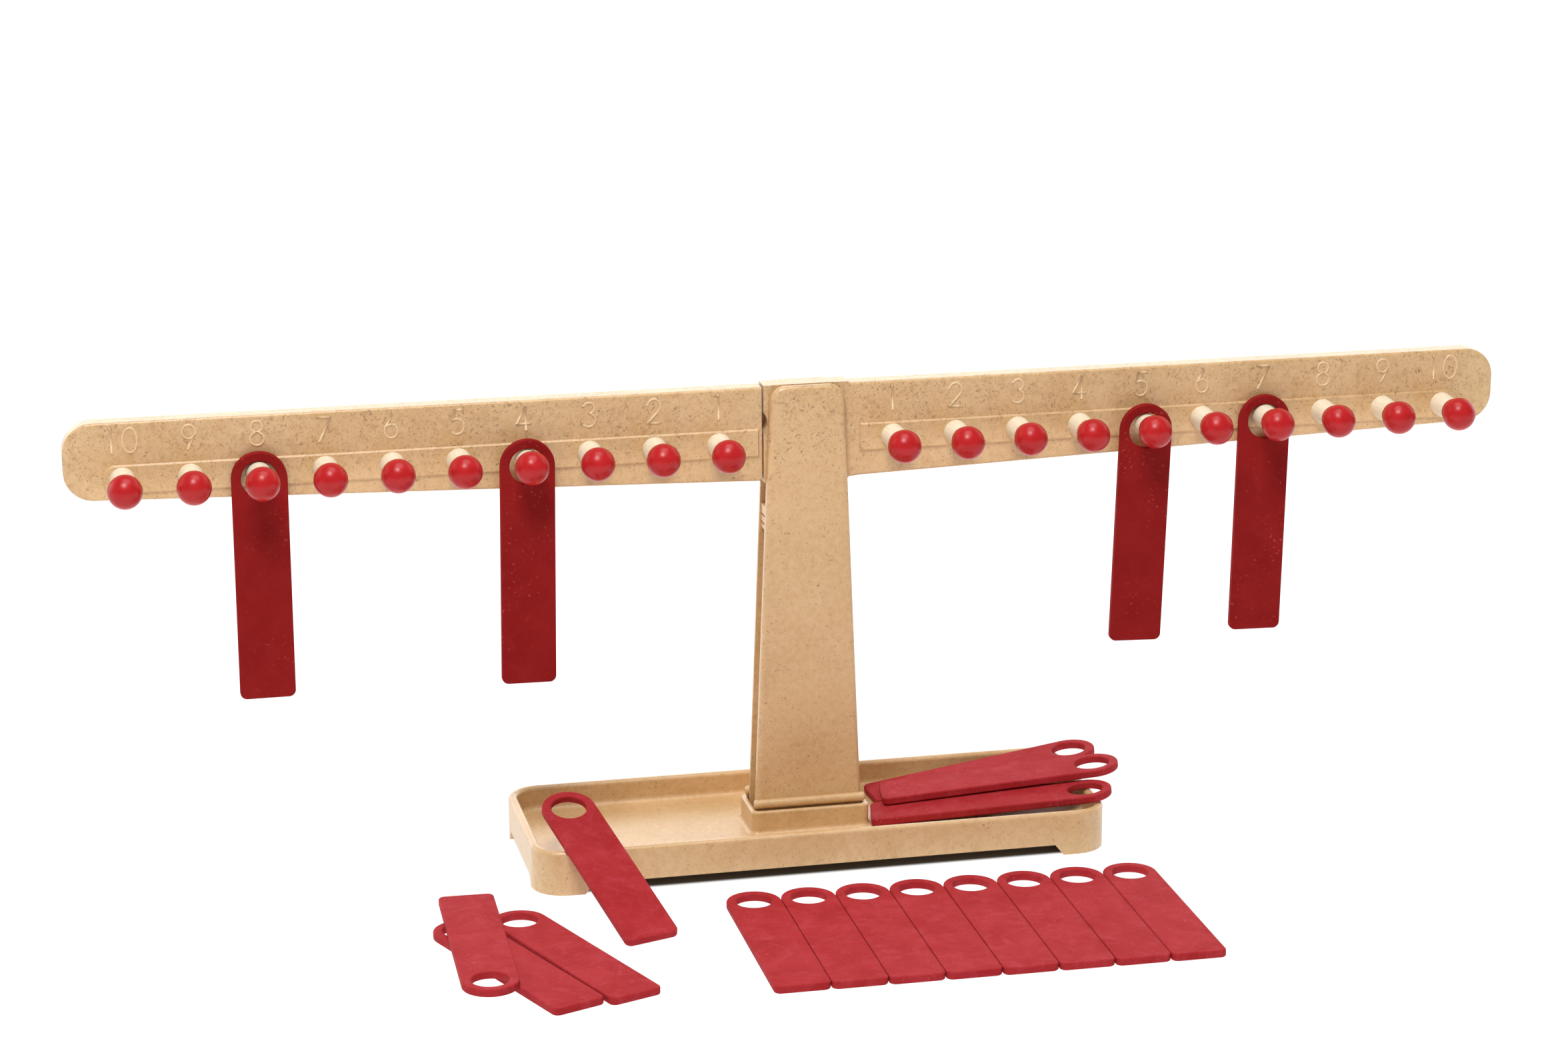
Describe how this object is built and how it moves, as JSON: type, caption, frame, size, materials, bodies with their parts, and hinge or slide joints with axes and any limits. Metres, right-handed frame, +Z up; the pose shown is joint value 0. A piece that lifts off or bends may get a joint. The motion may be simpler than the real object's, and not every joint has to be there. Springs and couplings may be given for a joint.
{
  "type": "arithmetic balance",
  "caption": "Tabletop arithmetic balance: a beam with numbered pegs pivots on a column over a storage tray, with equal flat weights hanging on pegs, in the tray and beside it.",
  "frame": {"origin": "on the floor under the pivot, at the middle of the column's foot", "axes": "+X along the right arm of the beam, +Y to the back, +Z up"},
  "size_m": [0.6512, 0.2292, 0.2163],
  "materials": {
    "composite": "moulded wood-fibre composite, matt, with fine brown flecks",
    "peg_stick": "pale, smooth, satin",
    "cap": "glossy red",
    "weight": "deep red, lightly mottled, semi-matt",
    "steel": "turned"
  },
  "bodies": {
    "base": {"base_tray": "composite", "column_front_plate": "composite", "column_rear_plate": "composite", "column_stop_block": "composite", "pivot_pin": "steel"},
    "beam": {"beam_right_arm": "composite", "beam_left_arm": "composite", "peg_left_01": "peg_stick", "peg_left_02": "peg_stick", "peg_left_03": "peg_stick", "peg_left_04": "peg_stick", "peg_left_05": "peg_stick", "peg_left_06": "peg_stick", "peg_left_07": "peg_stick", "peg_left_08": "peg_stick", "peg_left_09": "peg_stick", "peg_left_10": "peg_stick", "peg_right_01": "peg_stick", "peg_right_02": "peg_stick", "peg_right_03": "peg_stick", "peg_right_04": "peg_stick", "peg_right_05": "peg_stick", "peg_right_06": "peg_stick", "peg_right_07": "peg_stick", "peg_right_08": "peg_stick", "peg_right_09": "peg_stick", "peg_right_10": "peg_stick", "left_peg_caps": "cap", "right_peg_caps": "cap"},
    "weight_left_8": {"weight_left_8": "weight"},
    "weight_left_4": {"weight_left_4": "weight"},
    "weight_right_5": {"weight_right_5": "weight"},
    "weight_right_7": {"weight_right_7": "weight"},
    "weight_leaning": {"weight_leaning": "weight"},
    "weight_tray_1": {"weight_tray_1": "weight"},
    "weight_tray_2": {"weight_tray_2": "weight"},
    "weight_tray_3": {"weight_tray_3": "weight"},
    "weight_heap_1": {"weight_heap_1": "weight"},
    "weight_heap_2": {"weight_heap_2": "weight"},
    "weight_heap_3": {"weight_heap_3": "weight"},
    "weight_row_1": {"weight_row_1": "weight"},
    "weight_row_2": {"weight_row_2": "weight"},
    "weight_row_3": {"weight_row_3": "weight"},
    "weight_row_4": {"weight_row_4": "weight"},
    "weight_row_5": {"weight_row_5": "weight"},
    "weight_row_6": {"weight_row_6": "weight"},
    "weight_row_7": {"weight_row_7": "weight"},
    "weight_row_8": {"weight_row_8": "weight"}
  },
  "joints": [
    {"name": "beam_pivot", "type": "hinge", "parent": "base", "child": "beam", "pos_m": [0, 0, 0.205], "axis": [0, 1, 0], "range_deg": [-8, 8]},
    {"name": "left_8_swing", "type": "hinge", "parent": "beam", "child": "weight_left_8", "pos_m": [-0.2427, -0.0084, 0.1905], "axis": [0, 1, 0], "range_deg": [-50, 50]},
    {"name": "left_4_swing", "type": "hinge", "parent": "beam", "child": "weight_left_4", "pos_m": [-0.1267, -0.0132, 0.1905], "axis": [0, 1, 0], "range_deg": [-50, 50]},
    {"name": "right_5_swing", "type": "hinge", "parent": "beam", "child": "weight_right_5", "pos_m": [0.1557, -0.0132, 0.1905], "axis": [0, 1, 0], "range_deg": [-50, 50]},
    {"name": "right_7_swing", "type": "hinge", "parent": "beam", "child": "weight_right_7", "pos_m": [0.2137, -0.0084, 0.1905], "axis": [0, 1, 0], "range_deg": [-50, 50]},
    {"name": "leaning_lift", "type": "slide", "parent": "base", "child": "weight_leaning", "axis": [0, 0, 1], "range_m": [0, 0.03]},
    {"name": "tray_1_slide", "type": "slide", "parent": "base", "child": "weight_tray_1", "axis": [0.9907, 0.0589, 0.1227], "range_m": [0, 0.06]},
    {"name": "tray_2_lift", "type": "slide", "parent": "base", "child": "weight_tray_2", "axis": [0, 0, 1], "range_m": [0, 0.03]},
    {"name": "tray_3_slide", "type": "slide", "parent": "base", "child": "weight_tray_3", "axis": [0.9683, -0.2235, 0.1115], "range_m": [0, 0.06]},
    {"name": "heap_1_lift", "type": "slide", "parent": "base", "child": "weight_heap_1", "axis": [0, 0, 1], "range_m": [0, 0.06]},
    {"name": "heap_2_slide", "type": "slide", "parent": "base", "child": "weight_heap_2", "axis": [0.3681, -0.9298, 0], "range_m": [0, 0.06]},
    {"name": "heap_3_slide", "type": "slide", "parent": "base", "child": "weight_heap_3", "axis": [0.3681, -0.9298, 0], "range_m": [0, 0.06]},
    {"name": "row_1_lift", "type": "slide", "parent": "base", "child": "weight_row_1", "axis": [0, 0, 1], "range_m": [0, 0.06]},
    {"name": "row_2_lift", "type": "slide", "parent": "base", "child": "weight_row_2", "axis": [0, 0, 1], "range_m": [0, 0.06]},
    {"name": "row_3_lift", "type": "slide", "parent": "base", "child": "weight_row_3", "axis": [0, 0, 1], "range_m": [0, 0.06]},
    {"name": "row_4_lift", "type": "slide", "parent": "base", "child": "weight_row_4", "axis": [0, 0, 1], "range_m": [0, 0.06]},
    {"name": "row_5_lift", "type": "slide", "parent": "base", "child": "weight_row_5", "axis": [0, 0, 1], "range_m": [0, 0.06]},
    {"name": "row_6_lift", "type": "slide", "parent": "base", "child": "weight_row_6", "axis": [0, 0, 1], "range_m": [0, 0.06]},
    {"name": "row_7_lift", "type": "slide", "parent": "base", "child": "weight_row_7", "axis": [0, 0, 1], "range_m": [0, 0.06]},
    {"name": "row_8_lift", "type": "slide", "parent": "base", "child": "weight_row_8", "axis": [0, 0, 1], "range_m": [0, 0.06]}
  ]
}
